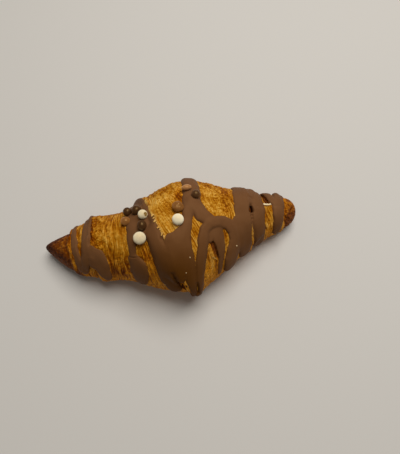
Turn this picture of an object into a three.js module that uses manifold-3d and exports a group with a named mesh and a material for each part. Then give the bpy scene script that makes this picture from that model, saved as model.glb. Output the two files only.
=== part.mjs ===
// A chocolate-drizzled croissant, in millimetres with +Z up and +X along its length.
// It is one baked body: the rolled pastry with its lap steps, the thick drizzle poured over it
// and the crunchy pearls set in that drizzle are fused into a single solid.
// The origin is under the middle of the croissant, on the surface that it rests on.
import * as THREE from "three";
import { mergeVertices } from "three/addons/utils/BufferGeometryUtils.js";
import Module from "manifold-3d";

// Driving dimensions of the pastry
const LENGTH = 150;
const HALF_LENGTH = LENGTH / 2;
const BELLY_SHARE = 0.36; // height of the widest line, as a share of the local height
const UNDER_STRETCH = 1.3; // how far the underside would bulge below the base, cut off flat
const TIP_LIFT = 3; // how far the two tips are raised off the surface
const LEFT_BLUNTNESS = 10; // how bluntly each tip rounds off
const RIGHT_BLUNTNESS = 22;

// Girth stations along the length: front edge and back edge across Y, and height
const STATIONS = [
  { x: -75, front: 6, back: 14.5, height: 12 },
  { x: -60, front: -7, back: 16.3, height: 20.5 },
  { x: -45, front: -12.4, back: 20, height: 28 },
  { x: -28, front: -17.4, back: 19.8, height: 35 },
  { x: -12, front: -25.6, back: 25, height: 40.6 },
  { x: 6, front: -30.6, back: 32.4, height: 43.5 },
  { x: 20, front: -24, back: 30.5, height: 40.5 },
  { x: 38, front: -12, back: 22.8, height: 32 },
  { x: 56, front: -4.4, back: 19, height: 24 },
  { x: 75, front: 1.4, back: 17.8, height: 13.5 },
];

// Edges of the rolled laps: place along X on the crown, slant in mm for each radian of girth,
// step height, and the side on which the upper lap lies (1 towards +X, -1 towards -X)
const LAPS = [
  { x: -57.5, slant: 0, step: 1.3, side: 1 },
  { x: -44, slant: 0, step: 2.0, side: 1 },
  { x: -7.8, slant: -8.5, step: 2.8, side: 1 },
  { x: 44, slant: 0, step: 2.2, side: -1 },
  { x: 53.5, slant: 0, step: 0.8, side: -1 },
  { x: 64.5, slant: 0, step: 1.2, side: -1 },
];
const LAP_EDGE = 2; // width of the step's slope
const LAP_FADE = 14; // length over which a lap sinks back into the body
const LAP_WANDER = 0.4; // how far a torn lap edge strays along X
const LAP_WAVES = 5; // strays of that edge for each radian of girth

// Drizzle strokes: place along X, girth angle in degrees (0 on the crown, negative on the front)
// and half width of the stroke at that point
const DRIZZLE = {
  leftStripe: [[-53.8, 100, 1.2], [-53.6, 40, 1.4], [-52.9, -1, 1.9], [-53.4, -31, 2.1], [-53, -62, 2.2]],
  leftBand: [[-47, 115, 2.2], [-46.4, 40, 2.8], [-46.4, -2, 2.4], [-47.2, -24, 2.8], [-51.5, -66, 2.6]],
  leftPatch: [[-44.5, -23, 3], [-42.2, -35, 4.9], [-40.7, -50, 4.7], [-39.2, -76, 2.6]],
  pearlBand: [[-18.2, 120, 3.6], [-18.2, 50, 4.5], [-17, 20, 6.2], [-17, 3, 6.2]],
  pearlLeg: [[-20.5, 5, 3.2], [-22.3, -34, 1.7]],
  pearlPatch: [[-21.7, -39, 3.4], [-20.4, -46, 4.4], [-20.5, -58, 4.8], [-20.8, -77, 3.4]],
  frontLeft: [[-14, 18, 3.2], [-9.5, -12, 4.1], [-7.6, -30, 4.6], [-5.9, -62, 4.7], [-3.8, -77, 3.9]],
  frontMiddle: [
    [8.2, -5, 2.2], [5, -13, 3], [0.4, -21, 5.4], [0.2, -40, 5.2], [0.6, -50, 4], [0.4, -57, 2.7],
  ],
  frontFill: [[-3.6, -24, 2.6], [-3.4, -46, 2.6]],
  frontRight: [[12, 20, 4.2], [8.8, 0, 2.6], [5.4, -20, 3], [5.4, -52, 3.6], [6, -82, 2.4]],
  crownBand: [[13.4, 120, 3.4], [13.4, 50, 4.4], [13.2, 25, 4.6], [12, 10, 4.4]],
  arch: [[13, 14, 4], [16.5, -1, 3.6], [20, -10, 3.2]],
  archLeft: [
    [24, -13.2, 3], [20, -12.7, 3], [16.6, -17, 3], [14.9, -25.5, 3], [12.6, -42, 3], [10.6, -58, 2.7],
    [8.8, -84, 2.4],
  ],
  archRight: [
    [22, -12.9, 3], [25.5, -14, 3], [29.4, -18.6, 3], [31.9, -28.5, 2.9], [32.2, -41, 3], [31.2, -52, 3.6],
    [30, -64, 4.4], [28.5, -80, 4.2],
  ],
  archMiddle: [[23.2, -19, 3.6], [22.5, -30, 2.8], [23.4, -43, 2.5], [23.6, -56, 1.6], [23, -76, 1.2]],
  archWeb: [[19, -20, 2.2], [18.9, -26.5, 1.5]],
  archSkirt: [[35, -18, 3], [36, -35, 3.5], [35.5, -55, 4]],
  rightBand: [
    [40.4, 115, 3.8], [40.6, 50, 4.4], [39.6, 0, 5.1], [38.4, -30, 4.4], [38.4, -55, 4.2], [38.2, -78, 3.8],
  ],
  creviceBand: [
    [48, 110, 3.8], [48, 45, 4.7], [48.4, -4, 4.7], [47.5, -29, 4.6], [47.6, -55, 4.7], [47.8, -84, 3.6],
  ],
  rightLink: [[56.8, 90, 3.2], [57.4, 52, 2.6], [58.2, 22, 2.2], [60, 7, 2.4]],
  rightStripe: [
    [66, 105, 3.4], [65.2, 62, 3.4], [63.8, 30, 3.2], [61.8, 3, 4], [61, -25.5, 3.8], [59.4, -69, 2.8],
  ],
};
const DRIZZLE_THICK = 1.7; // thickness of a stroke of half width DRIZZLE_FULL; narrow strokes are thinner
const DRIZZLE_FULL = 4.5;
const DRIZZLE_EDGE = 1.5; // least width of the rounded edge of a stroke
const DRIZZLE_FLOW = 4; // how little neighbouring strokes add to each other where they overlap
// Strokes thinner or thicker than the rest, as shares of the usual thickness
const DRIZZLE_SHARES = {
  leftStripe: 0.85,
  pearlBand: 0.8,
  arch: 1.3,
  archLeft: 1.5,
  archRight: 1.5,
  archMiddle: 0.65,
  archWeb: 0.6,
  archSkirt: 0.9,
};
const FILL_NARROW = 3; // widths over which the drizzle smooths a lap's step, at its edges and on the front
const FILL_WIDE = 14;

// Crunchy pearls: place along X, girth angle in degrees and diameter
const PEARL_SUNK = 0.22; // share of the diameter that lies below the drizzle's surface
const PEARLS = [
  { x: -16.9, angle: -11, diameter: 6.5 },
  { x: -13.7, angle: 15, diameter: 5 },
  { x: 3.7, angle: -1.8, diameter: 5.9 },
  { x: -23.4, angle: 15.8, diameter: 4.9 },
  { x: 4.7, angle: 10.2, diameter: 6 },
  { x: 10.8, angle: 28.8, diameter: 4.7 },
  { x: -22, angle: 29.8, diameter: 4.6 },
  { x: -17, angle: 24.8, diameter: 4.5 },
  { x: -14.8, angle: 2.5, diameter: 4.4 },
  { x: 15, angle: 18.2, diameter: 4.7 },
];

// Fineness of the faceted surface
const RINGS = 96; // steps along the length
const TIP_CROWDING = 0.2; // how much closer the rings stand towards the tips
const SIDE_STEPS = 42; // steps round the girth outside the flat base
const BASE_STEPS = 6; // steps across the flat base
const BASE_ANGLE = 140; // girth angle at which the flat base begins
const PEARL_DETAIL = 2;

const radians = THREE.MathUtils.degToRad;
const clamp = THREE.MathUtils.clamp;
const smoothstep = THREE.MathUtils.smoothstep;

// A smooth curve through one column of the stations, by cubic pieces
function stationValue(column, x) {
  const last = STATIONS.length - 1;
  const slope = (i) => {
    const before = STATIONS[Math.max(i - 1, 0)];
    const after = STATIONS[Math.min(i + 1, last)];
    return (after[column] - before[column]) / (after.x - before.x);
  };
  const found = STATIONS.findIndex((station) => station.x > x);
  const i = clamp(found < 0 ? last - 1 : found - 1, 0, last - 1);
  const from = STATIONS[i];
  const to = STATIONS[i + 1];
  const span = to.x - from.x;
  const u = (x - from.x) / span;
  const ease = u * u * (3 - 2 * u);
  const bend = u * (1 - u) * span * ((1 - u) * slope(i) - u * slope(i + 1));
  return from[column] + (to[column] - from[column]) * ease + bend;
}

// The girth section at x: its middle, its half width, its reach up and down from the belly line,
// and its mean radius over the top
function section(x) {
  const along = Math.abs(x) / HALF_LENGTH;
  const taper = Math.sqrt(Math.max(1 - along ** (x < 0 ? LEFT_BLUNTNESS : RIGHT_BLUNTNESS), 0));
  const front = stationValue("front", x);
  const back = stationValue("back", x);
  const height = stationValue("height", x);
  const belly = BELLY_SHARE * height;
  const halfWidth = (back - front) / 2;
  const rise = height - belly;
  return {
    taper,
    middle: (front + back) / 2,
    belly: belly + TIP_LIFT * along ** 6,
    halfWidth: halfWidth * taper,
    rise: rise * taper,
    drop: UNDER_STRETCH * belly * taper,
    girth: (halfWidth + rise) / 2,
  };
}

// How far the overlapping laps lift the surface at a place on the girth, each climbing over the
// width edge and starting that much ahead of its own edge
function lapHeight(x, angle, edge = LAP_EDGE, lead = 0) {
  return LAPS.reduce((sum, lap) => {
    const wander = LAP_WANDER * Math.sin(LAP_WAVES * angle + lap.x);
    const inside = lap.side * (x - lap.x - lap.slant * angle - wander) + lead;
    const climb = smoothstep(inside, -edge / 2, edge / 2);
    return sum + lap.step * climb * Math.exp(-Math.max(inside, 0) / LAP_FADE);
  }, 0);
}

// How deep a place lies inside a stroke's edge, negative outside, and the stroke's half width there
function strokeDepth(stroke, x, angle, girth) {
  let found = { depth: -Infinity, half: 0 };
  for (let i = 1; i < stroke.length; i++) {
    const [x0, angle0, half0] = stroke[i - 1];
    const [x1, angle1, half1] = stroke[i];
    const across = x1 - x0;
    const round = girth * radians(angle1 - angle0);
    const toX = x - x0;
    const toRound = girth * (angle - radians(angle0));
    const share = clamp((toX * across + toRound * round) / (across * across + round * round), 0, 1);
    const half = half0 + share * (half1 - half0);
    const depth = half - Math.hypot(toX - share * across, toRound - share * round);
    if (depth > found.depth) found = { depth, half };
  }
  return found;
}

// How far the laps and the drizzle over them lift the surface: strokes are rounded off towards their
// edges, and inside them the drizzle fills the lap steps
function reliefHeight(x, angle, girth) {
  let inside = -Infinity;
  let bulk = 0;
  for (const [name, stroke] of Object.entries(DRIZZLE)) {
    const { depth, half } = strokeDepth(stroke, x, angle, girth);
    const share = clamp(depth / Math.max(DRIZZLE_EDGE, 0.75 * half), 0, 1);
    const full = (DRIZZLE_SHARES[name] ?? 1) * (0.5 + (0.5 * half) / DRIZZLE_FULL);
    bulk += (full * Math.sqrt(1 - (1 - share) ** 2)) ** DRIZZLE_FLOW;
    inside = Math.max(inside, depth);
  }
  const front = smoothstep(angle, -1.35, -0.75) * (1 - smoothstep(angle, -0.2, 0.1));
  const fill = FILL_NARROW + (FILL_WIDE - FILL_NARROW) * front;
  const bare = lapHeight(x, angle);
  const filled = lapHeight(x, angle, fill, (fill - LAP_EDGE) / 2);
  const cover = smoothstep(inside, -0.3, 1.2);
  return bare + cover * (filled - bare) + DRIZZLE_THICK * bulk ** (1 / DRIZZLE_FLOW);
}

// A point on the surface, or raised above it by lift, and never below the resting surface
function surfacePoint(x, angle, lift = 0) {
  const { taper, middle, belly, halfWidth, rise, drop, girth } = section(x);
  const up = Math.cos(angle);
  const reach = up > 0 ? rise : drop;
  const outward = new THREE.Vector2(Math.sin(angle) * reach, up * halfWidth).normalize();
  const relief = reliefHeight(x, angle, girth) * taper + lift;
  const y = middle + halfWidth * Math.sin(angle) + relief * outward.x;
  const z = belly + reach * up + relief * outward.y;
  return new THREE.Vector3(x, y, Math.max(z, 0));
}

// The girth angles of one ring, close together on the sides and wide across the base
function girthAngles() {
  const sides = Array.from({ length: SIDE_STEPS }, (_, k) => -BASE_ANGLE + (2 * BASE_ANGLE * k) / SIDE_STEPS);
  const baseSpan = 360 - 2 * BASE_ANGLE;
  const base = Array.from({ length: BASE_STEPS }, (_, k) => BASE_ANGLE + (baseSpan * k) / BASE_STEPS);
  return [...sides, ...base].map(radians);
}

// The body: rings of points from tip to tip, closed by one point at each tip
function bodyGeometry() {
  const angles = girthAngles();
  const points = [surfacePoint(-HALF_LENGTH, 0)];
  for (let ring = 1; ring < RINGS; ring++) {
    const even = (2 * ring) / RINGS - 1;
    const x = HALF_LENGTH * even * (1 + TIP_CROWDING * (1 - even * even));
    points.push(...angles.map((angle) => surfacePoint(x, angle)));
  }
  points.push(surfacePoint(HALF_LENGTH, 0));

  const count = angles.length;
  const faces = [];
  for (let k = 0; k < count; k++) {
    const next = (k + 1) % count;
    faces.push(0, 1 + k, 1 + next);
    for (let ring = 0; ring < RINGS - 2; ring++) {
      const near = 1 + ring * count;
      const far = near + count;
      faces.push(near + k, far + k, far + next, near + k, far + next, near + next);
    }
    const lastRing = 1 + (RINGS - 2) * count;
    faces.push(points.length - 1, lastRing + next, lastRing + k);
  }
  return new THREE.BufferGeometry().setFromPoints(points).setIndex(faces);
}

// One pearl: a ball set a little way into the drizzle
function pearlGeometry({ x, angle, diameter }) {
  const centre = surfacePoint(x, radians(angle), diameter * (0.5 - PEARL_SUNK));
  const ball = new THREE.IcosahedronGeometry(diameter / 2, PEARL_DETAIL);
  return ball.translate(centre.x, centre.y, centre.z);
}

const wasm = await Module();
wasm.setup();

function toSolid(geometry) {
  geometry.deleteAttribute("normal");
  geometry.deleteAttribute("uv");
  const merged = mergeVertices(geometry);
  const vertProperties = new Float32Array(merged.getAttribute("position").array);
  const triVerts = new Uint32Array(merged.index.array);
  return new wasm.Manifold(new wasm.Mesh({ numProp: 3, vertProperties, triVerts }));
}

function toGeometry(solid) {
  const { vertProperties, triVerts } = solid.getMesh();
  const geometry = new THREE.BufferGeometry();
  geometry.setAttribute("position", new THREE.BufferAttribute(vertProperties, 3));
  geometry.setIndex(new THREE.BufferAttribute(triVerts, 1));
  geometry.computeVertexNormals();
  return geometry;
}

const whole = PEARLS.reduce(
  (solid, pearl) => solid.add(toSolid(pearlGeometry(pearl))),
  toSolid(bodyGeometry()),
);

const baked = new THREE.MeshStandardMaterial({ color: 0xb9742e, roughness: 0.65, metalness: 0 });
const croissant = new THREE.Mesh(toGeometry(whole), baked);
croissant.name = "croissant";

const part = new THREE.Group();
part.add(croissant);

export default part;
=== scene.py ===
import math

import bmesh
import bpy
import numpy as np
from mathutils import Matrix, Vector, noise


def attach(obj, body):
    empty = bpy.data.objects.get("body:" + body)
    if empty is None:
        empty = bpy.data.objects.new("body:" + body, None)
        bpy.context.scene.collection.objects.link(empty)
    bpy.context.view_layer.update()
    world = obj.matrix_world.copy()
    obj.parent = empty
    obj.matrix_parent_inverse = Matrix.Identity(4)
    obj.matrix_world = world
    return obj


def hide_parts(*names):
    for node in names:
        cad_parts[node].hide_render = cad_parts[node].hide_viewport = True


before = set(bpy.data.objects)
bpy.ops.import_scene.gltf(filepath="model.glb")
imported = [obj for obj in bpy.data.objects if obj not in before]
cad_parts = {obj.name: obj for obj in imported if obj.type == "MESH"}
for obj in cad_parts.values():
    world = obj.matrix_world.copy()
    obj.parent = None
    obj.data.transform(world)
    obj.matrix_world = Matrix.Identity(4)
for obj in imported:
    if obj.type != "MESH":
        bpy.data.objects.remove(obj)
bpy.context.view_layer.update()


# Pastry
# The croissant's baked body: a triangle of laminated dough rolled up from its wide side, whose laps
# overlap in steps and puff into flaky strands that run round the girth. The rings and meridians of a
# ball are laid over the girth stations, then lifted by the laps, the puffing, the strands and blisters.
MM = 0.001
HALF_LENGTH = 75.0
BELLY_SHARE = 0.36
UNDER_STRETCH = 1.3
TIP_LIFT = 3.0
TIP_LIFT_POWER = 6
TIP_POWERS = (10, 22)

# Girth stations in mm: place along X, front edge, back edge and height
STATIONS = np.array([
    (-75, 6.0, 14.5, 12.0),
    (-60, -7.0, 16.3, 20.5),
    (-45, -12.4, 20.0, 28.0),
    (-28, -17.4, 19.8, 35.0),
    (-12, -25.6, 25.0, 40.6),
    (6, -30.6, 32.4, 43.5),
    (20, -24.0, 30.5, 40.5),
    (38, -12.0, 22.8, 32.0),
    (56, -4.4, 19.0, 24.0),
    (75, 1.4, 17.8, 13.5),
])

# Lap edges: place along X on the crown, slant in mm a radian, step height, side of the upper lap and
# raggedness
LAPS = [
    (-58.2, 0, 1.3, 1, 0.3),
    (-44, 0, 2.0, 1, 0.3),
    (-7.8, -8.5, 2.8, 1, 0.8),
    (44, 0, 2.2, -1, 0.2),
    (53.5, 0, 0.8, -1, 0.4),
    (64.5, 0, 1.2, -1, 0.3),
]
MIDDLE_LAP = LAPS[2]
TALLEST_STEP = 2.8
LAP_EDGE = 1.6
LAP_FADE = 14.0
LAP_WANDER = 0.4
LAP_WAVES = 5
TEAR_LENGTH = 2.3
FINE_TEARS = 0.6
LAP_GROOVE = 0.8
GROOVE_AHEAD = -1.1
RIM_AHEAD = 0.6
EDGE_SPREAD = 0.8

# The ball's rings crowd at the ends, and most of its meridians lie on the top of the girth
GIRTH_STEPS = 150
LENGTH_STEPS = 160
END_CROWDING = 0.1
TOP_DEGREES = 125
UNDER_POWER = 7

# Layers of noise for each kind of relief and colour: width and length in mm, share and seed
PUFFS = [(15, 13, 0.45, 3.7)]
STRAND_WANDER = [(4, 7, 0.6, 1.1), (1.8, 4, 0.25, 4.2)]
STRANDS = [(1.4, 14, 1, 7.3), (0.75, 8, 0.7, 2.9)]
SEAMS = [(3, 17, 1, 3.3)]
BUBBLES = [(5, 8, 0.35, 2.6)]
BLISTERS = [(1.3, 1.5, 1, 5.2)]
SMALL_BLISTERS = [(0.8, 0.9, 0.7, 8.4)]
DIMPLES = [(1.9, 2.2, 1, 9.1)]
PATCHES = [(7, 7, 1.1, 4.4), (3, 3, 0.3, 6.6)]
SEAM_LINE = 0.2
DIMPLE_LINE = 0.3

STRAND_HEIGHT = 0.28
SEAM_SHARE = 0.5
BLISTER_HEIGHT = 0.3
DIMPLE_SHARE = 0.6
PIT_DEPTH = 1.0
PIT_EDGE = 1.2

# Where each part of the crust begins and over what length it comes in, as X in mm or girth angle in
# radians; left ones are counted leftward, and front ones down the front
UNDERSIDE = (1.9, 0.5)
FRONT = (0.5, 0.6)
FRONT_RIGHT = (4, 4)
SKIRT = (0.9, 0.3)
BACK = (1.1, 0.6)
LEFT_TIP = (57.2, 1.5)
LEFT_LIP = (52.7, 3)
LEFT_TAN = (55.7, 7)
LEFT_DEEP_TAN = (61, 8)
FRONT_TAN = (-0.5, 1.0)
LEFT_DULL = (22, 6)
LEFT_BROWN = (24, 10)
PEARL_SIDE = (-30, 10)
LAP_SIDE = (-22, 5)
MIDDLE = (-9, 4)
MIDDLE_END = (8, 20)
CROWN = (0.05, 0.5)
CROWN_END = (0.7, 0.5)
RIGHT_TOP = (-0.2, 0.3)
RIGHT_TIP = (63.5, 3)
FRAYED = (-36, 6)

# Middles and half widths of bands round the girth, as X in mm
LEFT_BUBBLES = (-41, 4)
LEFT_SILK = (-28, 6)
RIGHT_BUBBLES = (25, 9)
CREVICE = (43.5, 4)

# How bubbly each part of the crust is, how many of its strands are lost where it is bubbly or silky, and
# the size of blisters on bubbly and on strandy crust
USUAL_BUBBLES = 0.2
CROWN_BUBBLES = 0.7
RIGHT_BUBBLES_SHARE = 0.4
STRANDS_LOST = 0.85
SILK = 0.35
BLISTER_SIZES = (1.1, 0.5)
# How much calmer the relief is at the left tip and the crevice, and the blisters' colour on the crown
TIP_CALM = 0.7
CREVICE_CALM = 0.6
CROWN_CALM = 0.45
# How torn the upper laps' rims are, and how much more so on strands and blisters
FRAY = 0.3
STRAND_FRAY = 0.6
BLISTER_FRAY = 0.5

# How far the strands lean, in mm a radian: at the left, more past the pearls and most on the middle lap.
# Behind the crown they run straight on.
LEFT_LEAN = -1.5
PEARL_LEAN = 4.5
MIDDLE_LEAN = 11
LEAN_END = 0.75
LEAN_SOFT = 0.25

# Gaps between laps and beside drips, sunk into the crust and painted dark as shade, as lines of places: X
# in mm, girth angle in degrees and half width in mm
PITS = {
    "crevice": [(44.1, 2, 1.6), (43.6, -7, 2), (43.4, -21, 1)],
    "link_gap": [(53.6, 55, 1.3), (54.6, 32, 1.4), (55.2, 13, 1.1)],
    "lap_gap": [(-5.9, -10.5, 0.5), (-5.4, -14, 0.9)],
    "drip_hollow": [(19.1, -31, 1.3), (19.7, -38, 1.2), (20.7, -46, 1), (21.6, -53, 0.5)],
}
# Browner and paler places on the crust, most of them its own uneven baking; the dark line beside the left
# band's right edge is painted shade, and the paler place in the left tip's middle is painted sheen: X in
# mm, girth angle in degrees, half width and half length in mm, and amount
SPOTS = [
    # Painted sheen in the left tip's middle
    (-66, -8, 3.5, 5, -0.25),
    (-62, 0, 4, 6, -0.15),
    (-57.5, -48, 2.2, 7, -0.3),
    (-45.5, -64, 2.5, 4, -0.2),
    # Painted shade along the left band's right edge
    (-42.9, 24, 0.9, 5, 0.35),
    (-42.9, 9, 0.9, 5, 0.3),
    (-42.7, -6, 1.2, 5, 0.3),
    (-37.5, -9, 2.5, 3, -0.3),
    (-34.8, -41, 1.8, 6, 0.35),
    (-34, -20, 2.5, 5, -0.25),
    (-34.7, -65, 2.5, 5, 0.25),
    (-31.6, 31, 3, 4, 0.2),
    (-29.5, -10, 2, 4, -0.35),
    (-28.6, -23, 2, 4, -0.35),
    (-27, -38, 2, 5, 0.3),
    (-28.5, -68, 4, 5, 0.35),
    (-25.5, 4, 1.8, 5, 0.25),
    (-18.2, -22, 2, 4, -0.2),
    (-16, -30, 3, 6, 0.34),
    (-13.6, -19.5, 1.5, 3, -0.3),
    (-11.3, -47, 2.5, 6, 0.3),
    (-15.8, -66, 2.5, 5, 0.2),
    (-10.4, 31, 2, 4, 0.35),
    (-6.4, 20, 3, 9, -0.6),
    (-1.5, 17, 2, 4, 0.15),
    (0.5, 9.5, 1.8, 4, 0.25),
    (-0.5, -3, 2.5, 4, -0.35),
    (6.3, 26, 2.5, 5, 0.6),
    (11.5, -13, 1.2, 3, 0.15),
    (16.5, -46, 1, 6, 0.3),
    (17.9, -57, 1.2, 6, -0.35),
    (19.9, -60, 1, 6, 0.35),
    (18.4, 20, 1.6, 3, 0.3),
    (22.3, 11, 2.5, 4, -0.42),
    (27, 10, 1.8, 4, -0.25),
    (23, 44, 4, 5, 0.3),
    (25.5, 27, 2.5, 4, -0.2),
    (26.8, -28, 1.5, 4, 0.3),
    (29.8, 5, 2, 5, 0.35),
    (32.5, 33, 4, 8, 0.45),
    (67, -16, 2, 5, -0.32),
    (67, -38, 1.8, 6, 0.45),
    (65.4, -62, 2.5, 4, -0.2),
    (68, 26, 3, 4, -0.15),
]

# How much each feature of the crust lightens it, browns it, or makes its fine grain stronger. The front,
# front_right and skirt shares paint the lower front lighter and oranger, as warm light reflected up onto
# it, and the front browner, as shade; behind_lap is painted shade behind the middle lap's step
USUAL_TONE = 0.575
TONE_SHARES = {
    "strand": 0.11, "blister": 0.17, "dimple": -0.28, "patches": 0.17, "seam": -0.16, "spots": -0.3,
    "front": 0.2, "front_right": 0.1, "skirt": 0.12, "left_dull": -0.07,
}
BROWNING_AND_SHADE_SHARES = {
    "left_brown": 0.14, "front": 0.32, "front_right": 0.16, "behind_lap": 0.18, "lip": 0.42, "left_tan": 1,
    "right_tip": 0.58, "right_patches": 0.2, "back": 0.1, "patches": 0.14, "spots": 1,
}
MOTTLING_SHARES = {"browned": 0.5, "front": 0.6, "left_tip": -0.9, "right_tip": -0.5, "silky": -1}
# How tan the left end is, how much more so down its front and toward its point, and how patchy
TAN_SHARE = 0.26
FRONT_TAN_SHARE = 0.3
DEEP_TAN_SHARE = 0.2
TAN_PATCHES = 0.2
# Over how many mm painted shade darkens the crust behind the middle lap's step, and how dark the painted
# shade in the grooves and pits is
LAP_SHADE = 2
GROOVE_SHADE = 0.5
PIT_SHADE = 0.95

# Crust colours from the brown gaps between strands to their pale tops
TONES = [
    (0.10, (0.20, 0.044, 0.0005, 1)),
    (0.30, (0.33, 0.102, 0.0015, 1)),
    (0.52, (0.46, 0.176, 0.007, 1)),
    (0.74, (0.61, 0.292, 0.032, 1)),
    (0.95, (0.75, 0.428, 0.092, 1)),
]
BROWNED_TONES = [
    (0.15, (0.11, 0.020, 0.0005, 1)),
    (0.5, (0.28, 0.066, 0.001, 1)),
    (0.9, (0.67, 0.247, 0.006, 1)),
]
SCORCHED_TONES = [
    (0.2, (0.040, 0.008, 0.002, 1)),
    (0.55, (0.096, 0.023, 0.005, 1)),
    (0.9, (0.20, 0.055, 0.010, 1)),
]
TORN = (0.74, 0.46, 0.11, 1)
# The warm tint of all reflections: painted warm reflected light
WARM_REFLECTION_TINT = (1.0, 0.62, 0.24, 1)

# The crust's fine grain: fibres in mm across and along, specks to the metre, and the contrast of each on
# blistered and on strandy crust
FIBRE_WIDTH = 0.55
FIBRE_LENGTH = 9
SPECKS = 1050.0
FIBRE_CONTRAST = (0.45, 1.9)
SPECK_CONTRAST = (1.75, 0.6)
SPECK_BROWNING = 0.4


def smooth_step(value):
    """0 up to 0 and 1 from 1 on, with a smooth climb between."""
    share = np.clip(value, 0, 1)
    return share * share * (3 - 2 * share)


def climb(value, start, length):
    """0 before the start, climbing smoothly to 1 over that length."""
    return smooth_step((value - start) / length)


def bell(value, middle, spread):
    """1 in the middle, falling to 0 on both sides."""
    return np.exp(-((value - middle) / spread) ** 2)


def station_curve(column, x):
    """A smooth curve in x through one column of the stations."""
    places, values = STATIONS[:, 0], STATIONS[:, column]
    slopes = np.empty(len(places))
    slopes[1:-1] = (values[2:] - values[:-2]) / (places[2:] - places[:-2])
    slopes[0] = (values[1] - values[0]) / (places[1] - places[0])
    slopes[-1] = (values[-1] - values[-2]) / (places[-1] - places[-2])
    i = np.clip(np.searchsorted(places, x) - 1, 0, len(places) - 2)
    span = places[i + 1] - places[i]
    u = (x - places[i]) / span
    bend = u * (1 - u) * span * ((1 - u) * slopes[i] - u * slopes[i + 1])
    return values[i] + (values[i + 1] - values[i]) * smooth_step(u) + bend


def girth_radius(x):
    """Mean radius of the girth over its top, in mm, for measuring distances round it."""
    half_width = (station_curve(2, x) - station_curve(1, x)) / 2
    return (half_width + (1 - BELLY_SHARE) * station_curve(3, x)) / 2


def girth_points(x, angle, lift):
    """Points in metres on the girth at x and angle, raised by lift mm; angle is 0 on the crown."""
    share = np.abs(x) / HALF_LENGTH
    power = np.where(x < 0, *TIP_POWERS)
    taper = np.sqrt(np.clip(1 - share ** power, 1e-8, None))
    front, back, height = (station_curve(column, x) for column in (1, 2, 3))
    belly = BELLY_SHARE * height
    up = np.cos(angle)
    half_width = (back - front) / 2 * taper
    reach = np.where(up > 0, height - belly, UNDER_STRETCH * belly) * taper
    out_y, out_z = np.sin(angle) * reach, up * half_width
    length = np.hypot(out_y, out_z)
    raised = lift * taper
    y = (front + back) / 2 + half_width * np.sin(angle) + raised * out_y / length
    z = belly + TIP_LIFT * share ** TIP_LIFT_POWER + reach * up + raised * out_z / length
    return np.stack([x, y, np.maximum(z, 0)], axis=1) * MM


def grain(across, along, seed):
    """Smooth noise from -1 to 1 at places given by two coordinates."""
    column, row = np.floor(across), np.floor(along)

    def knot(aside, up):
        # A wave so steep that neighbouring knots are unlike
        tangle = np.sin((column + aside) * 127.1 + (row + up) * 311.7 + seed * 74.7) * 43758.5453
        return 2 * (tangle - np.floor(tangle)) - 1

    u, v = smooth_step(across - column), smooth_step(along - row)
    low = knot(0, 0) + u * (knot(1, 0) - knot(0, 0))
    high = knot(0, 1) + u * (knot(1, 1) - knot(0, 1))
    return low + v * (high - low)


def grains(across, along, layers):
    """The sum of layers of smooth noise at places in mm."""
    total = 0
    for width, length, share, seed in layers:
        total = total + share * grain(across / width, along / length, seed)
    return total


def lines(values, line):
    """1 where a noise crosses none, falling to 0 where it is as large as line."""
    return smooth_step(1 - np.abs(values) / line)


def past_edge(lap, x, angle, torn=1.0):
    """How far in mm each place lies past a lap's edge, towards the upper lap; torn 0 leaves it smooth."""
    place, slant, _, side, ragged = lap
    along = girth_radius(x) * angle
    lane = place + 0 * x
    tear = grain(along / TEAR_LENGTH + place, lane, 1.7) + FINE_TEARS * grain(along, lane, 2.3)
    wander = LAP_WANDER * np.sin(LAP_WAVES * angle + place)
    return side * (x - place - slant * angle - wander - torn * ragged * tear)


def lap_steps(x, angle, edge=LAP_EDGE, torn=1.0, lead=0.0):
    """Height of the overlapping laps, each climbing over the width edge, by lead ahead of its edge."""
    height = np.zeros(len(x))
    for lap in LAPS:
        past = past_edge(lap, x, angle, torn) + lead
        height += lap[2] * smooth_step(past / edge + 0.5) * np.exp(-np.maximum(past, 0) / LAP_FADE)
    return height


def near_edges(x, angle, ahead):
    """How near each place is, from 0 to 1, to a line that far past the lap edges; most at tall steps."""
    nearest = np.zeros(len(x))
    for lap in LAPS:
        nearness = lap[2] / TALLEST_STEP * bell(past_edge(lap, x, angle), ahead, EDGE_SPREAD)
        nearest = np.maximum(nearest, nearness)
    return nearest


def stroke_edge(stroke, x, angle, radius):
    """How far in mm each place lies inside a stroke's edge, and the stroke's half width there."""
    inside, width = np.full(len(x), -1e3), np.ones(len(x))
    for (x0, angle0, half0), (x1, angle1, half1) in zip(stroke, stroke[1:]):
        across, round_ = x1 - x0, radius * math.radians(angle1 - angle0)
        to_x, to_round = x - x0, radius * (angle - math.radians(angle0))
        share = np.clip((to_x * across + to_round * round_) / (across ** 2 + round_ ** 2), 0, 1)
        half = half0 + share * (half1 - half0)
        depth = half - np.hypot(to_x - share * across, to_round - share * round_)
        width = np.where(depth > inside, half, width)
        inside = np.maximum(inside, depth)
    return inside, width


def in_pits(x, angle):
    """How far each place lies in a gap painted dark as shade, from 0 outside to 1 well inside."""
    radius = girth_radius(x)
    pit = np.zeros(len(x))
    for gap in PITS.values():
        pit = np.maximum(pit, smooth_step(stroke_edge(gap, x, angle, radius)[0] / PIT_EDGE + 0.5))
    return pit


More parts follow.
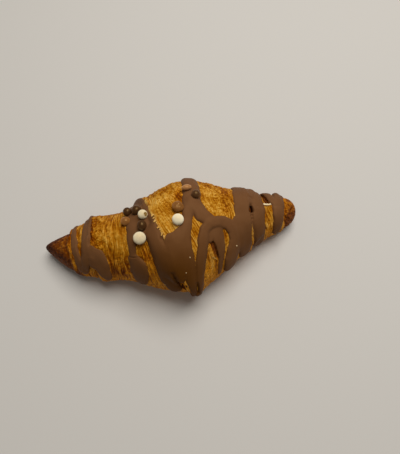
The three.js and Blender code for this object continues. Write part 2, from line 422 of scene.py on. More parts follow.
def girth_ball():
    """A ball whose rings and meridians become the girth's: its mesh, each vertex's x in mm and angle."""
    bm = bmesh.new()
    bmesh.ops.create_uvsphere(bm, u_segments=GIRTH_STEPS, v_segments=LENGTH_STEPS, radius=1)
    bmesh.ops.subdivide_edges(bm, edges=bm.edges[:], cuts=1, use_grid_fill=True)
    ball = np.array([vertex.co.normalized() for vertex in bm.verts])
    share = 1 - 2 * np.arccos(np.clip(ball[:, 2], -1, 1)) / math.pi
    turn = -np.arctan2(ball[:, 1], ball[:, 0]) / math.pi
    x = HALF_LENGTH * share * (1 + END_CROWDING - END_CROWDING * share ** 2)
    angle = np.radians(TOP_DEGREES * turn + (180 - TOP_DEGREES) * turn ** UNDER_POWER)
    return bm, np.clip(x, -HALF_LENGTH, HALF_LENGTH), angle


def place_vertices(bm, points):
    for vertex, point in zip(bm.verts, points):
        vertex.co = point


def store(bm, name, values):
    """Keeps one number for each vertex, for the material to read."""
    layer = bm.verts.layers.float.new(name)
    for vertex, value in zip(bm.verts, values):
        vertex[layer] = value


def finished_piece(name, bm, material):
    """Turns a bmesh into a smooth-shaded piece that rides on the croissant and stands for its solid."""
    mesh = bpy.data.meshes.new(name)
    bm.to_mesh(mesh)
    bm.free()
    mesh.polygons.foreach_set("use_smooth", [True] * len(mesh.polygons))
    mesh.materials.append(material)
    piece = bpy.data.objects.new(name, mesh)
    bpy.context.scene.collection.objects.link(piece)
    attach(piece, "root")
    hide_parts("croissant")


class Finish:
    """A shader socket that can be used in arithmetic, and from which further nodes are made."""

    def __init__(self, tree, socket=None):
        self.tree = tree
        self.socket = socket

    def node(self, kind, settings=None, sockets=None, output=0):
        made = self.tree.nodes.new(kind)
        for name, value in (settings or {}).items():
            setattr(made, name, value)
        for name, value in (sockets or {}).items():
            if isinstance(value, Finish):
                self.tree.links.new(value.socket, made.inputs[name])
            else:
                made.inputs[name].default_value = value
        return Finish(self.tree, made.outputs[output])

    def maths(self, operation, *values):
        return self.node("ShaderNodeMath", {"operation": operation}, dict(enumerate(values)))

    def __add__(self, other):
        return self.maths("ADD", self, other)

    def __sub__(self, other):
        return self.maths("SUBTRACT", self, other)

    def __rsub__(self, other):
        return self.maths("SUBTRACT", other, self)

    def __mul__(self, other):
        return self.maths("MULTIPLY", self, other)

    __radd__ = __add__
    __rmul__ = __mul__

    def between(self, low, high):
        """low where this is 0, and high where it is 1."""
        return low + (high - low) * self

    def within(self, low, high):
        """0 where this is low or less, and 1 where it is high or more."""
        return self.node("ShaderNodeMapRange", {}, {0: self, 1: low, 2: high, 3: 0.0, 4: 1.0})

    def mixed(self, first, second):
        """The first colour where this is 0, and the second where it is 1."""
        return self.node("ShaderNodeMix", {"data_type": "RGBA"}, {0: self, 6: first, 7: second}, 2)

    def ramp(self, stops):
        made = self.node("ShaderNodeValToRGB", {}, {"Fac": self})
        elements = made.socket.node.color_ramp.elements
        while len(elements) < len(stops):
            elements.new(1.0)
        for element, (place, colour) in zip(elements, stops):
            element.position = place
            element.color = colour
        return made

    def noise(self, scale, detail=2.0):
        where = self.node("ShaderNodeTexCoord", {}, {}, "Object")
        return self.node("ShaderNodeTexNoise", {}, {"Vector": where, "Scale": scale, "Detail": detail})

    def kept(self, name):
        """A number stored for each vertex."""
        return self.node("ShaderNodeAttribute", {"attribute_name": name}, {}, "Fac")

    def bump(self, height, strength, distance):
        sockets = {"Strength": strength, "Distance": distance, "Height": height}
        return self.node("ShaderNodeBump", {}, sockets)


def new_finish(name):
    material = bpy.data.materials.new(name)
    material.use_nodes = True
    material.node_tree.nodes.clear()
    return material, Finish(material.node_tree)


def coated(finish, **sockets):
    """Ends a material in a Principled shader; sockets are named with _ for a space."""
    named = {name.replace("_", " "): value for name, value in sockets.items()}
    shader = finish.node("ShaderNodeBsdfPrincipled", {}, named)
    surface = finish.tree.nodes.new("ShaderNodeOutputMaterial").inputs["Surface"]
    finish.tree.links.new(shader.socket, surface)


bm, x, angle = girth_ball()
along = girth_radius(x) * angle
upper = 1 - climb(np.abs(angle), *UNDERSIDE)
front = climb(-angle, *FRONT)
left_tip, right_tip = climb(-x, *LEFT_TIP), climb(x, *RIGHT_TIP)

# The strands lean with the middle lap; blisters take their place on the crown, by the second lap, by the
# crown's right side and at the tips
lean = MIDDLE_LEAN * climb(x, *MIDDLE) * (1 - climb(x, *MIDDLE_END))
lean += PEARL_LEAN * climb(x, *PEARL_SIDE) + LEFT_LEAN
leaning = angle - LEAN_SOFT * np.log1p(np.exp((angle - LEAN_END) / LEAN_SOFT))
across = x + lean * leaning + grains(x, along, STRAND_WANDER)
crown = CROWN_BUBBLES * climb(x, *MIDDLE) * climb(angle, *CROWN) * (1 - climb(angle, *CROWN_END))
bubbly = USUAL_BUBBLES + crown + left_tip + right_tip + bell(x, *LEFT_BUBBLES) + grains(x, along, BUBBLES)
bubbly += RIGHT_BUBBLES_SHARE * bell(x, *RIGHT_BUBBLES) * climb(angle, *RIGHT_TOP)
strandy = 1 - STRANDS_LOST * np.clip(bubbly, 0, 1)
silky = SILK * bell(x, *LEFT_SILK)
strand = (strandy - silky) * grains(across, along, STRANDS)
blister_size = BLISTER_SIZES[0] + (BLISTER_SIZES[1] - BLISTER_SIZES[0]) * strandy
blister = blister_size * (grains(across, along, BLISTERS) + grains(x, along, SMALL_BLISTERS))
seam = strandy * lines(grains(across, along, SEAMS), SEAM_LINE)
dimple = (1 - strandy) * lines(grains(across, along, DIMPLES), DIMPLE_LINE)
groove = near_edges(x, angle, GROOVE_AHEAD)
rim = near_edges(x, angle, RIM_AHEAD)
pit = in_pits(x, angle)
relief = STRAND_HEIGHT * (strand - SEAM_SHARE * seam) + BLISTER_HEIGHT * (blister - DIMPLE_SHARE * dimple)
calm = 1 - np.clip(TIP_CALM * left_tip + CREVICE_CALM * bell(x, *CREVICE), 0, 1)
relief = calm * relief - LAP_GROOVE * groove - PIT_DEPTH * pit
lift = lap_steps(x, angle) + upper * relief + grains(x, along, PUFFS)
place_vertices(bm, girth_points(x, angle, lift))

patches = grains(x, along, PATCHES)
spots = np.zeros(len(x))
for spot_x, degrees, half_width, half_length, amount in SPOTS:
    spot_along = girth_radius(x) * math.radians(degrees)
    spots += amount * bell(x, spot_x, half_width) * bell(along, spot_along, half_length)
tan_depth = TAN_SHARE + FRONT_TAN_SHARE * climb(-angle, *FRONT_TAN)
left_tan = climb(-x, *LEFT_TAN) * tan_depth + DEEP_TAN_SHARE * climb(-x, *LEFT_DEEP_TAN)
features = {
    "strand": strand,
    "seam": seam,
    "blister": (1 - CROWN_CALM * crown) * blister,
    "dimple": (1 - CROWN_CALM * crown) * dimple,
    "patches": patches,
    "spots": spots,
    # Painted light and shade: the lower front is made lighter and oranger as warm reflected light, and
    # browner as shade
    "front": front,
    "front_right": front * climb(x, *FRONT_RIGHT),
    "skirt": climb(-angle, *SKIRT),
    "back": climb(angle, *BACK),
    # Painted shade behind the middle lap's step
    "behind_lap": smooth_step(-past_edge(MIDDLE_LAP, x, angle) / LAP_SHADE) * climb(x, *LAP_SIDE),
    "left_dull": climb(-x, *LEFT_DULL),
    "left_brown": climb(-x, *LEFT_BROWN),
    "left_tan": left_tan * (1 + TAN_PATCHES * patches),
    "lip": climb(-x, *LEFT_LIP),
    "left_tip": left_tip,
    "right_tip": right_tip,
    "right_patches": right_tip * patches,
    "silky": silky,
}


def summed(shares):
    """The crust's features added up by their shares."""
    return sum(share * features[name] for name, share in shares.items())


tone = USUAL_TONE + summed(TONE_SHARES)
browning_and_shade = summed(BROWNING_AND_SHADE_SHARES)
features["browned"] = np.clip(browning_and_shade, 0, 1)
frayed = (FRAY + STRAND_FRAY * strand + BLISTER_FRAY * blister) * climb(x, *FRAYED)
store(bm, "tone", np.clip(tone, 0, 1))
store(bm, "strandy", strandy)
store(bm, "mottling", 1 + summed(MOTTLING_SHARES))
# The crust's browning, with painted shade added in the grooves under lap edges and in the pits
store(bm, "browning_and_shade", np.clip(browning_and_shade + GROOVE_SHADE * groove + PIT_SHADE * pit, 0, 1))
store(bm, "torn", np.clip(rim * frayed * (1 - front) * upper * (1 - pit), 0, 1))
fibres = bm.verts.layers.float_vector.new("fibre")
runs = np.stack([across / FIBRE_WIDTH, along / FIBRE_LENGTH, 0 * x], axis=1)
for vertex, place in zip(bm.verts, runs):
    vertex[fibres] = place

crust, finish = new_finish("baked_crust")
run = finish.node("ShaderNodeAttribute", {"attribute_name": "fibre"}, {}, "Vector")
fibre = finish.node("ShaderNodeTexNoise", {}, {"Vector": run, "Scale": 1.0, "Detail": 2.0})
speckle = finish.noise(SPECKS, 2.5)
strandiness = finish.kept("strandy")
mottling = finish.kept("mottling")
fibre_contrast = strandiness.between(*FIBRE_CONTRAST)
speck_contrast = strandiness.between(*SPECK_CONTRAST)
rough = (fibre - 0.5) * fibre_contrast + (speckle - 0.5) * speck_contrast
tone = finish.kept("tone") + rough * mottling
# Browning with painted shade, flecked by the specks
browning_and_shade = finish.kept("browning_and_shade") + (speckle - 0.5) * mottling * SPECK_BROWNING
brown = browning_and_shade.within(0.0, 0.6).mixed(tone.ramp(TONES), tone.ramp(BROWNED_TONES))
scorched = browning_and_shade.within(0.55, 1.0).mixed(brown, tone.ramp(SCORCHED_TONES))
coated(
    finish,
    Base_Color=finish.kept("torn").mixed(scorched, TORN),
    Roughness=0.6 - 0.06 * browning_and_shade,
    Normal=finish.bump(tone, 0.6, 0.0006),
    IOR=1.3,
    Specular_IOR_Level=0.1,
    Specular_Tint=WARM_REFLECTION_TINT,
)
finished_piece("pastry", bm, crust)


# Drizzle
# Milk chocolate poured to and fro across the croissant with a spoon, which ran down the sides, flowed
# together on the front and set semi-matte. Each stroke has a rounded edge and a fuller end, fills the
# lap steps that it runs over, and is a closed shell whose inner face lies inside the pastry.

# Each stroke is a line of places: X in mm, girth angle in degrees and half width in mm
DRIZZLE = {
    "left_stripe": [
        (-54.6, 100, 1.2), (-54.5, 40, 1.4), (-54, -1, 1.9),
        (-54.1, -15, 1.7), (-53.7, -31, 1.8), (-53, -62, 2.2),
    ],
    "left_band": [
        (-46.4, 115, 2.2), (-45.8, 40, 2.5), (-46.8, 0, 2.7),
        (-47.4, -24, 2.9), (-51.5, -66, 2.6),
    ],
    "left_web": [(-45.5, -36, 2), (-45.2, -49, 2.3)],
    "left_patch": [(-44.5, -23, 3), (-42.2, -35, 4.9), (-40.7, -50, 4.7), (-39.2, -76, 2.6)],
    "pearl_tail": [(-18.2, 120, 3.6), (-18.2, 50, 4.5), (-17.3, 27, 5.8)],
    "pearl_band": [(-17.3, 27, 5.8), (-17, 20, 6.2), (-17, 3, 6.2)],
    "pearl_leg": [(-20.5, 5, 3.2), (-22.3, -34, 1.7)],
    "pearl_patch": [(-21.7, -39, 3.4), (-20.4, -46, 4.4), (-20.5, -58, 4.8), (-20.8, -77, 3.4)],
    "front_left": [
        (-14, 18, 3.2), (-9.5, -12, 4.1), (-7.6, -30, 4.6),
        (-5.9, -62, 4.7), (-3.8, -77, 3.9),
    ],
    "front_middle": [
        (8.2, -5, 2.2), (5, -13, 3), (0.4, -21, 5.4),
        (0.2, -40, 5.2), (0.6, -50, 4), (0.4, -57, 2.7),
    ],
    "front_fill": [(-3.6, -24, 2.6), (-3.4, -46, 2.6)],
    "front_right": [(12, 20, 4.2), (8.8, 0, 2.6), (5.4, -20, 3), (5.4, -52, 3.6), (6, -82, 2.4)],
    "crown_band": [(13.4, 120, 3.4), (13.4, 50, 4.4), (13.2, 25, 4.6), (12, 10, 4.4)],
    "arch": [(13, 14, 4), (16.2, -1.8, 3.4), (20, -10.4, 3.1)],
    "arch_left": [
        (24, -13.2, 3), (20, -12.7, 3), (16.6, -17, 3), (14.9, -25.5, 3),
        (12.6, -42, 3), (10.6, -58, 2.7), (8.8, -84, 2.4),
    ],
    "arch_right": [
        (22, -12.9, 3), (25.5, -14, 3), (29.4, -18.6, 3), (31.9, -28.5, 2.9),
        (32.2, -41, 3), (31, -52, 4), (29.8, -64, 4.6), (28.5, -80, 4.2),
    ],
    "arch_middle": [
        (23.2, -19, 3.6), (23, -30, 2.9), (23.9, -43, 2.5),
        (23.5, -55, 1.7), (22.4, -67, 1.5), (21.9, -78, 1.3),
    ],
    "arch_web": [(19, -20, 2.2), (18.9, -26.5, 1.5), (18.6, -29.5, 1.3)],
    "arch_skirt": [(35, -18, 3), (36, -35, 3.5), (35.5, -55, 4)],
    "right_band": [
        (41, 115, 3.6), (41.2, 50, 4.2), (39.6, 0, 5.1),
        (38.8, -30, 4.7), (38.8, -55, 4.5), (38.4, -78, 3.9),
    ],
    "crevice_band": [
        (48, 110, 3.8), (48, 45, 4.7), (48.1, -4, 4.4),
        (47.6, -29, 4), (47.7, -55, 4.1), (47.8, -84, 3.4),
    ],
    "crevice_fill": [(47, 100, 3.2), (47, 50, 3.8), (45.8, 26, 2.2)],
    "right_link": [(56.8, 90, 3.2), (57.4, 52, 2.6), (58.2, 22, 2.2), (60, 7, 2.4)],
    "right_stripe": [
        (66, 105, 3.4), (65.2, 62, 3.4), (63.8, 30, 3.2),
        (61.8, 3, 4), (61, -25.5, 3.8), (59.4, -69, 2.8),
    ],
}
# Holes in the drizzle and creases between its strokes, given in the same way; a crease that doesn't cut
# through has a half width below 0
DRIZZLE_GAPS = {
    "crevice_hole": [(44.3, 4, 0.4), (43.7, -6.5, 1.1)],
    "crevice_crease": [
        (43.5, -11, 0), (43.4, -15, 0.35), (43.4, -17.5, 0),
        (43.3, -21, 0.3), (43.3, -23, 0),
    ],
    "crevice_slit": [(43.2, -26, 0.1), (43.2, -44, 0.55), (43.4, -62, 0.7), (43.3, -79, 0.8)],
    "lap_hole": [(-5.9, -10.5, 0), (-5.3, -14.5, 0.5)],
    "lip_wedge": [(2.3, -57, 0.05), (3, -66, 0.6), (4, -80, 0.9)],
    "tail_crease": [(9.3, -37, 0.1), (9, -45, 0)],
    "leg_crease": [(-25, -35.5, 0), (-19.4, -34.5, -0.15)],
    "drip_crease": [(9, -46, -0.1), (8.8, -52, -0.3), (8.5, -63, -0.2)],
    "drip_slit": [(8.5, -65, 0.15), (8.3, -73, 0.5), (8.3, -79, 0.4)],
    "lip_crease": [(-3.6, -49, -0.5), (-2.7, -56.5, -0.15), (-1.6, -65, -0.1)],
    "link_crease": [(61.4, 75, -0.2), (61, 46, -0.2), (60.3, 18, -0.35)],
}
# Strokes thinner or thicker than the rest, as shares of the usual thickness
DRIZZLE_SHARES = {
    "left_stripe": 0.85,
    "pearl_tail": 0.4,
    "pearl_band": 0.8,
    "arch": 1.3,
    "arch_left": 1.5,
    "arch_right": 1.5,
    "arch_middle": 0.85,
    "arch_web": 0.6,
    "arch_skirt": 0.9,
    "crevice_fill": 1.9,
}
# Thickness in mm of a stroke of the full half width, and the share of it that the narrowest would have
DRIZZLE_THICK = 1.7
DRIZZLE_FULL = 4.5
DRIZZLE_THIN_SHARE = 0.5
# Width of the rounded edge: at least so many mm, or this share of the half width
DRIZZLE_EDGE = 1.5
DRIZZLE_EDGE_SHARE = 0.75
# How sharply strokes keep apart where they meet, how steeply the hidden margin dives under the crust, its
# width in mm, how much of it is cut away at the gaps painted dark as shade, and the shell's thickness in
# mm
DRIZZLE_FLOW = 4
DRIZZLE_DIVE = 1.2
DRIZZLE_MARGIN = 1.2
DRIZZLE_PIT_TRIM = 0.75
DRIZZLE_SHELL = 1.6
DRIZZLE_RIM_PASSES = 5
# Noise that makes the edges waver, less so behind the crown, and that ripples the face
DRIZZLE_WAVER = [(2.6, 2.6, 0.3, 6.1)]
DRIZZLE_RIPPLE = [(4, 7, 0.12, 9.5)]
STEADY = (0.6, 0.4)
STEADY_SHARE = 0.7
CREASE_EDGE = 0.9
# Strokes that end below this angle are drips, with a fuller end
DRIP_ANGLE = -40
DRIP_BULGE = 0.2
DRIP_REACH = 5
# Widths over which the drizzle smooths a lap's step: at its edges and back, and on the front
FILL_NARROW = 3
FILL_WIDE = 14
FILL_FRONT = (-1.35, 0.6)
FILL_FRONT_END = (-0.2, 0.3)
FILL_EDGE = (-0.3, 1.5)
# Painted shade: the chocolate's colour is darker and warmer down the front, most of all below the middle
# lap, standing in for shade and warm reflected light
SHADE_FRONT = (-0.05, 1.0)
SHADE_MIDDLE = (-1, 16)
SHADE_LEAST = 0.3

CHOCOLATE_CLOUDS = 110.0
CHOCOLATE_GRAIN = 900.0
MILK_CHOCOLATE = (0.180, 0.078, 0.030, 1)
MILK_CHOCOLATE_DEEP = (0.150, 0.062, 0.022, 1)
SHADED_FRONT_CHOCOLATE = (0.098, 0.032, 0.003, 1)


def rounded(share):
    """The height of a rounded edge at a share of its width."""
    return np.sqrt(1 - (1 - np.clip(share, 0, 1)) ** 2)


def drizzle_cover(x, angle):
    """How deep in mm each place lies inside the drizzle's outline, and how far its face is lifted."""
    radius = girth_radius(x)
    waver = grains(x, radius * angle, DRIZZLE_WAVER) * (1 - STEADY_SHARE * climb(angle, *STEADY))
    inside, bulk = np.full(len(x), -1e3), np.zeros(len(x))
    for name, stroke in DRIZZLE.items():
        depth, half = stroke_edge(stroke, x, angle, radius)
        depth += waver
        fullness = DRIZZLE_THIN_SHARE + (1 - DRIZZLE_THIN_SHARE) * half / DRIZZLE_FULL
        thick = rounded(depth / np.maximum(DRIZZLE_EDGE, DRIZZLE_EDGE_SHARE * half)) * fullness
        end_x, end_angle, _ = stroke[-1]
        if end_angle < DRIP_ANGLE:
            to_end = np.hypot(x - end_x, radius * (angle - math.radians(end_angle)))
            thick *= 1 + DRIP_BULGE * bell(to_end, 0, DRIP_REACH)
        bulk += (DRIZZLE_SHARES.get(name, 1) * thick) ** DRIZZLE_FLOW
        inside = np.maximum(inside, depth)
    thick = bulk ** (1 / DRIZZLE_FLOW)
    for gap in DRIZZLE_GAPS.values():
        outside = -stroke_edge(gap, x, angle, radius)[0]
        inside = np.minimum(inside, outside)
        thick *= rounded(outside / CREASE_EDGE)
    on_front = climb(angle, *FILL_FRONT) * (1 - climb(angle, *FILL_FRONT_END))
    fill = FILL_NARROW + (FILL_WIDE - FILL_NARROW) * on_front
    bare = lap_steps(x, angle, torn=0)
    filled = lap_steps(x, angle, fill, 0, fill / 2 - LAP_EDGE / 2)
    laps = bare + climb(inside, *FILL_EDGE) * (filled - bare)
    return inside, laps + DRIZZLE_THICK * thick + DRIZZLE_DIVE * np.minimum(inside, 0)


bm, x, angle = girth_ball()
along = girth_radius(x) * angle
inside, lift = drizzle_cover(x, angle)
lift += grains(x, along, DRIZZLE_RIPPLE) + grains(x, along, PUFFS)
place_vertices(bm, girth_points(x, angle, lift))
# Painted shade and warm reflected light down the front
store(bm, "front_shade", climb(-angle, *SHADE_FRONT) * (SHADE_LEAST + (1 - SHADE_LEAST) * bell(x, *SHADE_MIDDLE)))
margin = DRIZZLE_MARGIN * (1 - DRIZZLE_PIT_TRIM * in_pits(x, angle))
beyond = [vertex for vertex, outside in zip(bm.verts, -inside > margin) if outside]
bmesh.ops.delete(bm, geom=beyond, context="VERTS")
rim = [vertex for vertex in bm.verts if vertex.is_boundary]
for _ in range(DRIZZLE_RIM_PASSES):
    eased = []
    for vertex in rim:
        beside = [edge.other_vert(vertex).co for edge in vertex.link_edges if edge.is_boundary]
        eased.append((vertex.co + sum(beside, Vector()) / len(beside)) / 2)
    for vertex, place in zip(rim, eased):
        vertex.co = place
bmesh.ops.solidify(bm, geom=bm.faces[:], thickness=DRIZZLE_SHELL * MM)

chocolate, finish = new_finish("milk_chocolate")
cloud = finish.noise(CHOCOLATE_CLOUDS, 3.0)
fine = finish.noise(CHOCOLATE_GRAIN)
clouded = cloud.within(0.3, 0.7).mixed(MILK_CHOCOLATE_DEEP, MILK_CHOCOLATE)
# The front's colour is painted darker and warmer as shade and reflected light
coated(
    finish,
    Base_Color=finish.kept("front_shade").mixed(clouded, SHADED_FRONT_CHOCOLATE),
    Roughness=0.5 + 0.14 * cloud,
    Normal=finish.bump(fine * 0.5 + cloud, 0.12, 0.0003),
    IOR=1.3,
    Specular_IOR_Level=0.2,
    Specular_Tint=WARM_REFLECTION_TINT,
)
finished_piece("drizzle", bm, chocolate)


# Pearls
# Crunchy cereal balls rolled in white, milk and dark chocolate, dropped on while the drizzle was soft.
# Each is an uneven ball pressed a little way into what lies under it; one piece for each kind.
PEARL_SUNK = 0.22
# Place along X in mm, girth angle in degrees, diameter in mm, unevenness, paleness, and size along X, Y
# and outward. On the third milk pearl paleness is its own paler colour with a painted highlight, and on
# the fourth dark pearl a painted highlight
PEARLS = {
    "white_pearl": [
        (-16.9, -11, 6.5, 0.02, 0, (1, 1, 0.98)),
        (-13.7, 15, 5.0, 0.03, 0, (1, 1, 1)),
        (3.7, -1.8, 5.9, 0.02, 0.8, (1, 1, 0.98)),
    ],
    "milk_pearl": [
        (-23.4, 15.8, 4.9, 0.04, 0.1, (1.05, 1, 0.92)),
        (4.7, 10.2, 6.0, 0.13, 0, (1, 0.98, 0.9)),
        (10.8, 28.8, 4.7, 0.06, 0.95, (1.14, 0.74, 0.78)),
    ],
    "dark_pearl": [
        (-22, 29.8, 4.8, 0.03, 0, (1, 1, 1)),
        (-16.9, 24.8, 5.0, 0.04, 0, (1.05, 1, 1)),
        (-14.8, 2.8, 4.9, 0.04, 0, (1, 1.08, 1)),
        (15, 18.2, 4.7, 0.03, 0.5, (1, 1, 0.95)),
    ],
}
PEARL_LUMPS = 1.6
# The second white pearl's broken side: its direction from the pearl's middle, its distance as a share of
# the radius, and how rough it is
CHIPPED_KIND = "white_pearl"
CHIPPED_NUMBER = 1
CHIP_DIRECTION = Vector((0.72, -0.30, 0.62)).normalized()
CHIP_DISTANCE = 0.87
CHIP_ROUGHNESS = 0.08
CHIP_LUMPS = 5
CHIP_EDGE = 0.05
WHOLE = 2.0
# Usual, deep and pale colour of each kind
PEARL_COLOURS = {
    "white_pearl": ((0.86, 0.74, 0.49, 1), (0.77, 0.64, 0.41, 1), (0.94, 0.84, 0.60, 1)),
    "milk_pearl": ((0.31, 0.125, 0.030, 1), (0.24, 0.090, 0.018, 1), (0.50, 0.235, 0.080, 1)),
    "dark_pearl": ((0.076, 0.031, 0.010, 1), (0.058, 0.021, 0.006, 1), (0.13, 0.055, 0.020, 1)),
}
CHIP_COLOUR = (0.30, 0.17, 0.04, 1)
PEARL_ROUGHNESS = {"white_pearl": 0.42, "milk_pearl": 0.26, "dark_pearl": 0.26}
PEARL_MOTTLE = 600.0
PEARL_GRAIN = 1800.0


def on_top(x, degrees, lift):
    """A point in metres raised by lift mm over the drizzle or bare pastry, and the outward direction."""
    place, turn = np.array([x], dtype=float), np.radians([degrees])
    inside, drizzle = drizzle_cover(place, turn)
    low = drizzle if inside[0] > 0 else lap_steps(place, turn)
    low = low + grains(place, girth_radius(place) * turn, PUFFS)
    foot, point = (Vector(girth_points(place, turn, low + rise)[0]) for rise in (0, max(lift, 0.1)))
    return point, (point - foot).normalized()


for kind, pearls in PEARLS.items():
    bm = bmesh.new()
    chips, paleness = [], []
    for number, (x, degrees, diameter, uneven, paler, sizes) in enumerate(pearls):
        middle, outward = on_top(x, degrees, diameter * (0.5 - PEARL_SUNK))
        ball = bmesh.ops.create_icosphere(bm, subdivisions=5, radius=diameter / 2 * MM)["verts"]
        for vertex in ball:
            way = vertex.co.normalized()
            cut = WHOLE
            if kind == CHIPPED_KIND and number == CHIPPED_NUMBER:
                broken = CHIP_DISTANCE + CHIP_ROUGHNESS * noise.noise(way * CHIP_LUMPS)
                cut = broken / max(way.dot(CHIP_DIRECTION), 0.1)
            lump = 1 + uneven * noise.noise(way * PEARL_LUMPS + Vector((x, degrees, 0)))
            vertex.co *= min(lump, cut)
            vertex.co.x *= sizes[0]
            vertex.co.y *= sizes[1]
            vertex.co -= outward * outward.dot(vertex.co) * (1 - sizes[2])
            chips.append(float(climb(lump, cut, CHIP_EDGE)))
            paleness.append(paler)
        bmesh.ops.translate(bm, verts=ball, vec=middle)
    store(bm, "chip", chips)
    store(bm, "pale", paleness)
    shell, finish = new_finish(kind)
    mottle = finish.noise(PEARL_MOTTLE, 3.0)
    usual, deep, pale = PEARL_COLOURS[kind]
    # Paleness lifts a pearl toward its pale colour, on some pearls as a painted highlight
    sound = finish.kept("pale").mixed(mottle.within(0.35, 0.65).mixed(deep, usual), pale)
    coated(
        finish,
        Base_Color=finish.kept("chip").mixed(sound, CHIP_COLOUR),
        Roughness=PEARL_ROUGHNESS[kind] + 0.15 * mottle,
        Normal=finish.bump(finish.noise(PEARL_GRAIN), 0.08, 0.0002),
        Diffuse_Roughness=1.0,
        Specular_Tint=WARM_REFLECTION_TINT,
    )
    finished_piece(kind + "s", bm, shell)


# Flakes
# Thin shards of baked dough: a row along the torn edge of the middle lap, one in the arch's window and a
# cream one by the right end. Each is a ragged, curled sheet with a thickness, its foot on the crust.
FLAKE_THICK = 0.16
FLAKE_FOOT_LIFT = 0.2
FLAKE_POINT_LIFT = 0.3
FLAKE_TAPER = 0.75
FLAKE_RAGGED = 0.7
FLAKE_BEND = 0.5
FLAKE_CURL = 0.1
FLAKE_CUP = 0.25
FLAKE_RUFFLE = 0.08
# Foot and point of each, as X in mm and girth angle in degrees, its width in mm and paleness
FLAKES = [
    (-8.4, 11.5, -9.3, 8.4, 1.4, 0),
    (-7.8, 7.5, -8.9, 5.6, 0.8, 0),
    (-7.3, 4.2, -8.5, 1.2, 1.3, 0),
    (-6.4, -0.5, -7.0, -2.2, 0.7, 0),
    (-6.0, -2.4, -7.2, -5.4, 1.3, 0),
    (-5.6, -6.0, -6.2, -7.4, 0.7, 0),
    (-5.0, -9.5, -5.9, -12.8, 1.0, 0),
    (-4.4, -12.5, -4.6, -16.2, 0.9, 0),
    (-11.2, 37, -12.2, 34, 0.7, 0),
    (18.6, -48, 20.5, -53.5, 0.8, 0),
    (52.4, 5, 57.2, 3, 1.2, 1),
]
FLAKE_PALE = (0.72, 0.44, 0.12, 1)
FLAKE_GOLDEN = (0.50, 0.23, 0.022, 1)
FLAKE_CREAM = (0.84, 0.68, 0.40, 1)
FLAKE_DAPPLE = 700.0


def add_flake(bm, foot, point, outward, width):
    """One shard from its foot to its point, in metres; tells how many vertices it has."""
    forward, length = (point - foot).normalized(), (point - foot).length
    aside = forward.cross(outward).normalized()
    own = foot.x / MM
    sheet = bmesh.ops.create_grid(bm, x_segments=8, y_segments=4, size=0.5)["verts"]
    for vertex in sheet:
        share, across = vertex.co.x + 0.5, vertex.co.y
        ragged = noise.noise(Vector((6 * share, 2 * across, own)))
        narrow = (1 - FLAKE_TAPER * share ** 2) * (1 + FLAKE_RAGGED * ragged)
        across += FLAKE_BEND * share * noise.noise(Vector((3 * share, 0, own + 5)))
        rise = FLAKE_CURL * share ** 2 + FLAKE_CUP * across * across + FLAKE_RUFFLE * ragged
        vertex.co = foot + length * (forward * share + outward * rise) + aside * across * narrow * width
    return len(sheet)


bm = bmesh.new()
paleness = []
for foot_x, foot_degrees, point_x, point_degrees, width, paler in FLAKES:
    foot, outward = on_top(foot_x, foot_degrees, FLAKE_FOOT_LIFT)
    point, _ = on_top(point_x, point_degrees, FLAKE_POINT_LIFT)
    paleness += [paler] * add_flake(bm, foot, point, outward, width * MM)
store(bm, "pale", paleness)
bmesh.ops.solidify(bm, geom=bm.faces[:], thickness=FLAKE_THICK * MM)

leaf, finish = new_finish("dry_flake")
dapple = finish.noise(FLAKE_DAPPLE)
dappled = dapple.within(0.35, 0.65).mixed(FLAKE_GOLDEN, FLAKE_PALE)
coated(
    finish,
    Base_Color=finish.kept("pale").mixed(dappled, FLAKE_CREAM),
    Roughness=0.6,
    Specular_IOR_Level=0.3,
)
finished_piece("flakes", bm, leaf)


# Crumbs
# Specks of flaked crust that fell on the soft drizzle and stuck to it as it set. Each is a small uneven
# lump, half sunk into the chocolate.
# Place along X in mm, girth angle in degrees and size in mm
CRUMBS = [(6.7, -36.3, 0.6), (3.6, -49.7, 0.45), (-8.3, -70.1, 0.55), (32.6, -50.4, 0.75)]
CRUMB_LIFT = 0.15
CRUMB_UNEVEN = 0.5
CRUMB_LUMPS = 2500
CRUMB_PALE = (0.85, 0.68, 0.40, 1)
CRUMB_DAPPLE = 1500.0
bm = bmesh.new()
for x, degrees, size in CRUMBS:
    middle, _ = on_top(x, degrees, CRUMB_LIFT)
    lump = bmesh.ops.create_icosphere(bm, subdivisions=2, radius=size / 2 * MM)["verts"]
    for vertex in lump:
        vertex.co *= 1 + CRUMB_UNEVEN * noise.noise(vertex.co * CRUMB_LUMPS + Vector((x, degrees, 1)))
    bmesh.ops.translate(bm, verts=lump, vec=middle)
speck, finish = new_finish("crumb")
dapple = finish.noise(CRUMB_DAPPLE)
coated(finish, Base_Color=dapple.within(0.3, 0.7).mixed(FLAKE_GOLDEN, CRUMB_PALE), Roughness=0.7)
finished_piece("crumbs", bm, speck)


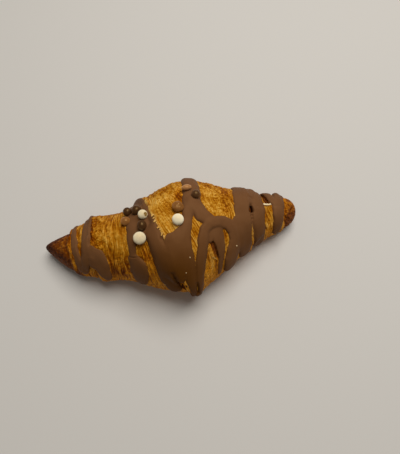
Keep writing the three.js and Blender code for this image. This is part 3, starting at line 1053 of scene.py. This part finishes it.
# Floor, light and camera
# A plain pale floor, one broad soft lamp high behind the croissant with a weak even fill, and the camera
# high in front, looking down.
FLOOR_HALF_SIZE = 3
FLOOR_DROP = 0.0002
FLOOR_COLOUR = (0.64, 0.60, 0.54, 1)
bm = bmesh.new()
bmesh.ops.create_grid(bm, x_segments=1, y_segments=1, size=FLOOR_HALF_SIZE)
bmesh.ops.translate(bm, verts=bm.verts, vec=(0, 0, -FLOOR_DROP))
floor_mesh = bpy.data.meshes.new("floor")
bm.to_mesh(floor_mesh)
bm.free()
floor = bpy.data.objects.new("floor", floor_mesh)
bpy.context.scene.collection.objects.link(floor)
paper, finish = new_finish("pale_floor")
coated(finish, Base_Color=FLOOR_COLOUR, Roughness=0.8)
floor_mesh.materials.append(paper)

LAMP_TO_RIGHT = math.radians(14)
LAMP_TO_BACK = math.radians(16)
LAMP_DISTANCE = 0.9
LAMP_POWER = 7.0
LAMP_SIZE = 0.6
lamp_data = bpy.data.lights.new("lamp", "AREA")
lamp_data.energy = LAMP_POWER
lamp_data.size = LAMP_SIZE
lamp = bpy.data.objects.new("lamp", lamp_data)
toward_lamp = Vector((math.tan(LAMP_TO_RIGHT), math.tan(LAMP_TO_BACK), 1)).normalized()
lamp.location = toward_lamp * LAMP_DISTANCE
lamp.rotation_euler = toward_lamp.to_track_quat("Z", "Y").to_euler()
bpy.context.scene.collection.objects.link(lamp)

FILL_LIGHT_COLOUR = (1, 0.97, 0.93, 1)
FILL_LIGHT_STRENGTH = 0.15
world = bpy.data.worlds.new("studio")
world.use_nodes = True
world.node_tree.nodes["Background"].inputs["Color"].default_value = FILL_LIGHT_COLOUR
world.node_tree.nodes["Background"].inputs["Strength"].default_value = FILL_LIGHT_STRENGTH
bpy.context.scene.world = world
bpy.context.scene.view_settings.view_transform = "Standard"

CAMERA_AZIMUTH = math.radians(-9.67)
CAMERA_ELEVATION = math.radians(69.45)
CAMERA_PLACE = (0.00211, -0.07556, 0.23409)
FOCAL_PIXELS = 403.3
FRAME_HEIGHT_PIXELS = 454
SENSOR_MM = 36
camera_data = bpy.data.cameras.new("camera")
camera_data.sensor_width = SENSOR_MM
camera_data.lens = SENSOR_MM * FOCAL_PIXELS / FRAME_HEIGHT_PIXELS
camera = bpy.data.objects.new("camera", camera_data)
level = math.cos(CAMERA_ELEVATION)
backward = Vector((
    math.sin(CAMERA_AZIMUTH) * level,
    -math.cos(CAMERA_AZIMUTH) * level,
    math.sin(CAMERA_ELEVATION),
))
camera.location = CAMERA_PLACE
camera.rotation_euler = (-backward).to_track_quat("-Z", "Y").to_euler()
bpy.context.scene.collection.objects.link(camera)
bpy.context.scene.camera = camera
